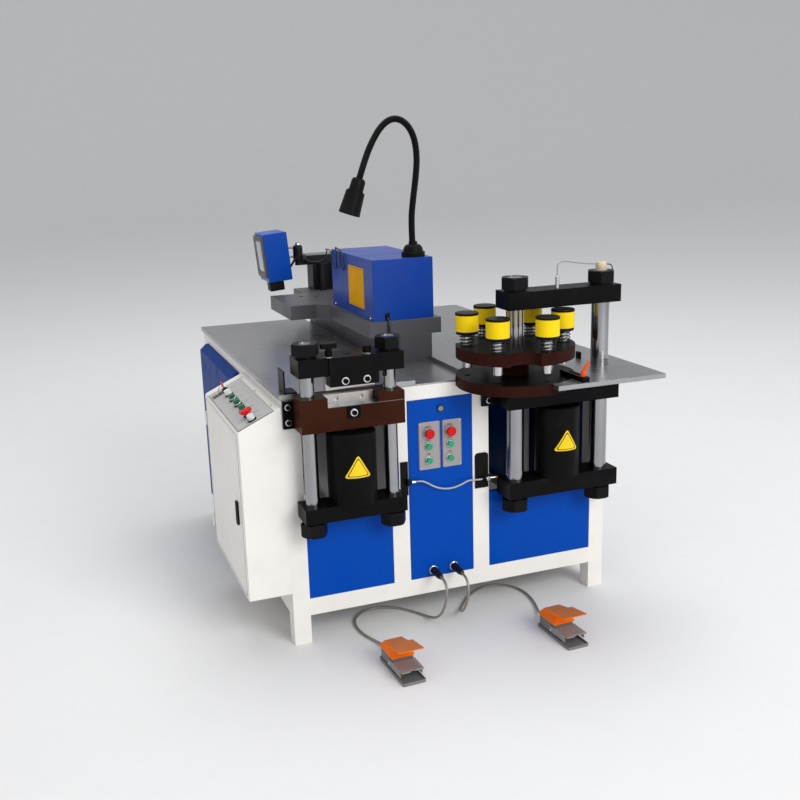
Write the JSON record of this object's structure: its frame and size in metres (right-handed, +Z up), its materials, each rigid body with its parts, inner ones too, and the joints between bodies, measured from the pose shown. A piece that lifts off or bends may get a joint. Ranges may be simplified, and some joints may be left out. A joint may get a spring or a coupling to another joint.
{
  "type": "busbar processing machine",
  "caption": "Floor-standing busbar machine that shears, punches and bends copper bar on one steel table, with a turret, hydraulic presses, control cabinet, lamp and foot pedals.",
  "frame": {"origin": "on the floor, under the centre of the machine's bounding box with its pedals, cords left out", "axes": "+X to the right along the front, +Y towards the rear, +Z up"},
  "size_m": [1.3774, 1.8096, 1.7192],
  "materials": {
    "frame_white": "semi-gloss powder coat",
    "panel_blue": "semi-gloss powder coat",
    "table_steel": "ground and oiled",
    "black_steel": "blackened steel",
    "brown_steel": "dark brown paint",
    "chrome": "hard chrome",
    "blade_steel": "ground",
    "grey_paint": "grey paint",
    "punch_yellow": "yellow ring on dark steel",
    "spring_steel": "oiled spring steel",
    "button_red": "moulded",
    "button_green": "moulded",
    "button_white": "moulded",
    "plate_grey": "satin plate",
    "lever_orange": "moulded",
    "lamp_black": "ribbed rubber and moulded plastic",
    "display_blue": "moulded case",
    "pedal_grey": "cast, painted grey",
    "cord_grey": "sheathed cable"
  },
  "bodies": {
    "machine": {"frame": "frame_white", "bed_plate": "table_steel", "left_table": "table_steel", "right_table": "table_steel", "front_panels": "panel_blue", "body_covers": "panel_blue", "control_plates": "plate_grey", "control_cabinet": "frame_white", "shear_block": "brown_steel", "lower_blade": "blade_steel", "punch_block": "black_steel", "stop_arm": "black_steel", "bend_body": "grey_paint", "bend_cover": "panel_blue", "bend_head": "black_steel", "work_lamp": "lamp_black", "foot_pedals": "pedal_grey", "cable_connectors": "lamp_black", "sensor_brackets": "black_steel", "left_pedal_cord": "cord_grey", "right_pedal_cord": "cord_grey", "link_cable": "cord_grey"},
    "cabinet_door": {"cabinet_door": "frame_white"},
    "cabinet_latch": {"cabinet_latch": "lamp_black"},
    "panel_lock": {"panel_lock": "blade_steel"},
    "shear_yoke": {"shear_columns": "chrome", "shear_top_beam": "black_steel", "shear_base": "black_steel", "upper_blade": "blade_steel"},
    "wing_knob": {"wing_knob": "black_steel"},
    "punch_yoke": {"punch_columns": "chrome", "punch_top_beam": "black_steel", "punch_base": "black_steel", "sensor_post": "blade_steel"},
    "turret": {"turret_lower_disc": "brown_steel", "turret_upper_disc": "brown_steel", "punch_springs": "spring_steel"},
    "clamp_lever": {"clamp_lever": "lever_orange"},
    "bend_ram": {"bend_ram": "chrome"},
    "display": {"display": "display_blue"},
    "left_treadle": {"left_treadle": "pedal_grey"},
    "right_treadle": {"right_treadle": "pedal_grey"},
    "key_switch": {"key_switch": "button_red"},
    "stop_button": {"stop_button": "button_red"},
    "white_button": {"white_button": "button_white"},
    "punch_1": {"punch_1": "punch_yellow"},
    "punch_2": {"punch_2": "punch_yellow"},
    "punch_3": {"punch_3": "punch_yellow"},
    "punch_4": {"punch_4": "punch_yellow"},
    "punch_5": {"punch_5": "punch_yellow"},
    "punch_6": {"punch_6": "punch_yellow"},
    "green_button_1": {"green_button_1": "button_green"},
    "green_button_2": {"green_button_2": "button_green"},
    "green_button_3": {"green_button_3": "button_green"},
    "left_stop_button": {"left_stop_button": "button_red"},
    "left_start_button": {"left_start_button": "button_green"},
    "left_jog_button": {"left_jog_button": "button_green"},
    "right_stop_button": {"right_stop_button": "button_red"},
    "right_start_button": {"right_start_button": "button_green"},
    "right_jog_button": {"right_jog_button": "button_green"}
  },
  "joints": [
    {"name": "shear_stroke", "type": "slide", "parent": "machine", "child": "shear_yoke", "axis": [0, 0, -1], "range_m": [0, 0.03]},
    {"name": "wing_knob_turn", "type": "hinge", "parent": "shear_yoke", "child": "wing_knob", "pos_m": [-0.39935, -0.60023, 1], "axis": [0, 0, 1], "range_deg": [-180, 180]},
    {"name": "punch_stroke", "type": "slide", "parent": "machine", "child": "punch_yoke", "axis": [0, 0, -1], "range_m": [0, 0.033]},
    {"name": "turret_turn", "type": "hinge", "parent": "machine", "child": "turret", "pos_m": [0.25645, -0.56593, 0.9], "axis": [0, 0, 1], "continuous": true},
    {"name": "clamp_lever_turn", "type": "hinge", "parent": "machine", "child": "clamp_lever", "pos_m": [0.39615, -0.76923, 0.89], "axis": [0, 0, 1], "range_deg": [-90, 90]},
    {"name": "bend_stroke", "type": "slide", "parent": "machine", "child": "bend_ram", "axis": [0, 1, 0], "range_m": [0, 0.12]},
    {"name": "display_turn", "type": "hinge", "parent": "machine", "child": "display", "pos_m": [-0.10235, 0.83277, 1.17], "axis": [0, 0, 1], "range_deg": [-30, 30]},
    {"name": "cabinet_door_swing", "type": "hinge", "parent": "machine", "child": "cabinet_door", "pos_m": [-0.68335, 0.05877, 0.475], "axis": [0, 0, -1], "range_deg": [0, 110]},
    {"name": "cabinet_latch_lift", "type": "hinge", "parent": "cabinet_door", "child": "cabinet_latch", "pos_m": [-0.68065, -0.43023, 0.522], "axis": [0, 1, 0], "range_deg": [0, 35]},
    {"name": "panel_lock_turn", "type": "hinge", "parent": "machine", "child": "panel_lock", "pos_m": [0.00625, -0.50723, 0.7596], "axis": [0, 1, 0], "range_deg": [0, 90]},
    {"name": "key_switch_turn", "type": "hinge", "parent": "machine", "child": "key_switch", "pos_m": [-0.62288, -0.04923, 0.78717], "axis": [-0.4195, 0, 0.9078], "range_deg": [0, 90]},
    {"name": "green_button_1_press", "type": "slide", "parent": "machine", "child": "green_button_1", "axis": [0.4195, 0, -0.9078], "range_m": [0, 0.0035], "stiffness_N_per_m": 400, "springref_m": -0.004},
    {"name": "green_button_2_press", "type": "slide", "parent": "machine", "child": "green_button_2", "axis": [0.4195, 0, -0.9078], "range_m": [0, 0.0035], "stiffness_N_per_m": 400, "springref_m": -0.004},
    {"name": "green_button_3_press", "type": "slide", "parent": "machine", "child": "green_button_3", "axis": [0.4195, 0, -0.9078], "range_m": [0, 0.0035], "stiffness_N_per_m": 400, "springref_m": -0.004},
    {"name": "white_button_press", "type": "slide", "parent": "machine", "child": "white_button", "axis": [0.4195, 0, -0.9078], "range_m": [0, 0.0035], "stiffness_N_per_m": 400, "springref_m": -0.004},
    {"name": "stop_button_press", "type": "slide", "parent": "machine", "child": "stop_button", "axis": [0.4195, 0, -0.9078], "range_m": [0, 0.006], "stiffness_N_per_m": 400, "springref_m": -0.004},
    {"name": "left_stop_press", "type": "slide", "parent": "machine", "child": "left_stop_button", "axis": [0, 1, 0], "range_m": [0, 0.005], "stiffness_N_per_m": 400, "springref_m": -0.004},
    {"name": "left_start_press", "type": "slide", "parent": "machine", "child": "left_start_button", "axis": [0, 1, 0], "range_m": [0, 0.0035], "stiffness_N_per_m": 400, "springref_m": -0.004},
    {"name": "left_jog_press", "type": "slide", "parent": "machine", "child": "left_jog_button", "axis": [0, 1, 0], "range_m": [0, 0.0035], "stiffness_N_per_m": 400, "springref_m": -0.004},
    {"name": "right_stop_press", "type": "slide", "parent": "machine", "child": "right_stop_button", "axis": [0, 1, 0], "range_m": [0, 0.005], "stiffness_N_per_m": 400, "springref_m": -0.004},
    {"name": "right_start_press", "type": "slide", "parent": "machine", "child": "right_start_button", "axis": [0, 1, 0], "range_m": [0, 0.0035], "stiffness_N_per_m": 400, "springref_m": -0.004},
    {"name": "right_jog_press", "type": "slide", "parent": "machine", "child": "right_jog_button", "axis": [0, 1, 0], "range_m": [0, 0.0035], "stiffness_N_per_m": 400, "springref_m": -0.004},
    {"name": "left_treadle_press", "type": "hinge", "parent": "machine", "child": "left_treadle", "pos_m": [-0.26353, -0.78738, 0.025], "axis": [0.999, 0.0454, 0], "range_deg": [0, 5], "stiffness_Nm_per_rad": 8, "springref_deg": -8.59},
    {"name": "right_treadle_press", "type": "hinge", "parent": "machine", "child": "right_treadle", "pos_m": [0.31247, -0.79138, 0.025], "axis": [0.999, 0.0454, 0], "range_deg": [0, 5], "stiffness_Nm_per_rad": 8, "springref_deg": -8.59},
    {"name": "punch_1_stroke", "type": "slide", "parent": "turret", "child": "punch_1", "axis": [0, 0, -1], "range_m": [0, 0.0275], "stiffness_N_per_m": 3000, "springref_m": -0.03, "deforming": ["punch_springs"]},
    {"name": "punch_2_stroke", "type": "slide", "parent": "turret", "child": "punch_2", "axis": [0, 0, -1], "range_m": [0, 0.0275], "stiffness_N_per_m": 3000, "springref_m": -0.03, "deforming": ["punch_springs"]},
    {"name": "punch_3_stroke", "type": "slide", "parent": "turret", "child": "punch_3", "axis": [0, 0, -1], "range_m": [0, 0.0275], "stiffness_N_per_m": 3000, "springref_m": -0.03, "deforming": ["punch_springs"]},
    {"name": "punch_4_stroke", "type": "slide", "parent": "turret", "child": "punch_4", "axis": [0, 0, -1], "range_m": [0, 0.0275], "stiffness_N_per_m": 3000, "springref_m": -0.03, "deforming": ["punch_springs"]},
    {"name": "punch_5_stroke", "type": "slide", "parent": "turret", "child": "punch_5", "axis": [0, 0, -1], "range_m": [0, 0.0275], "stiffness_N_per_m": 3000, "springref_m": -0.03, "deforming": ["punch_springs"]},
    {"name": "punch_6_stroke", "type": "slide", "parent": "turret", "child": "punch_6", "axis": [0, 0, -1], "range_m": [0, 0.0275], "stiffness_N_per_m": 3000, "springref_m": -0.03, "deforming": ["punch_springs"]}
  ],
  "couplings": [
    {"joint": "punch_3_stroke", "follows": "punch_stroke", "ratio": 0.83333}
  ]
}
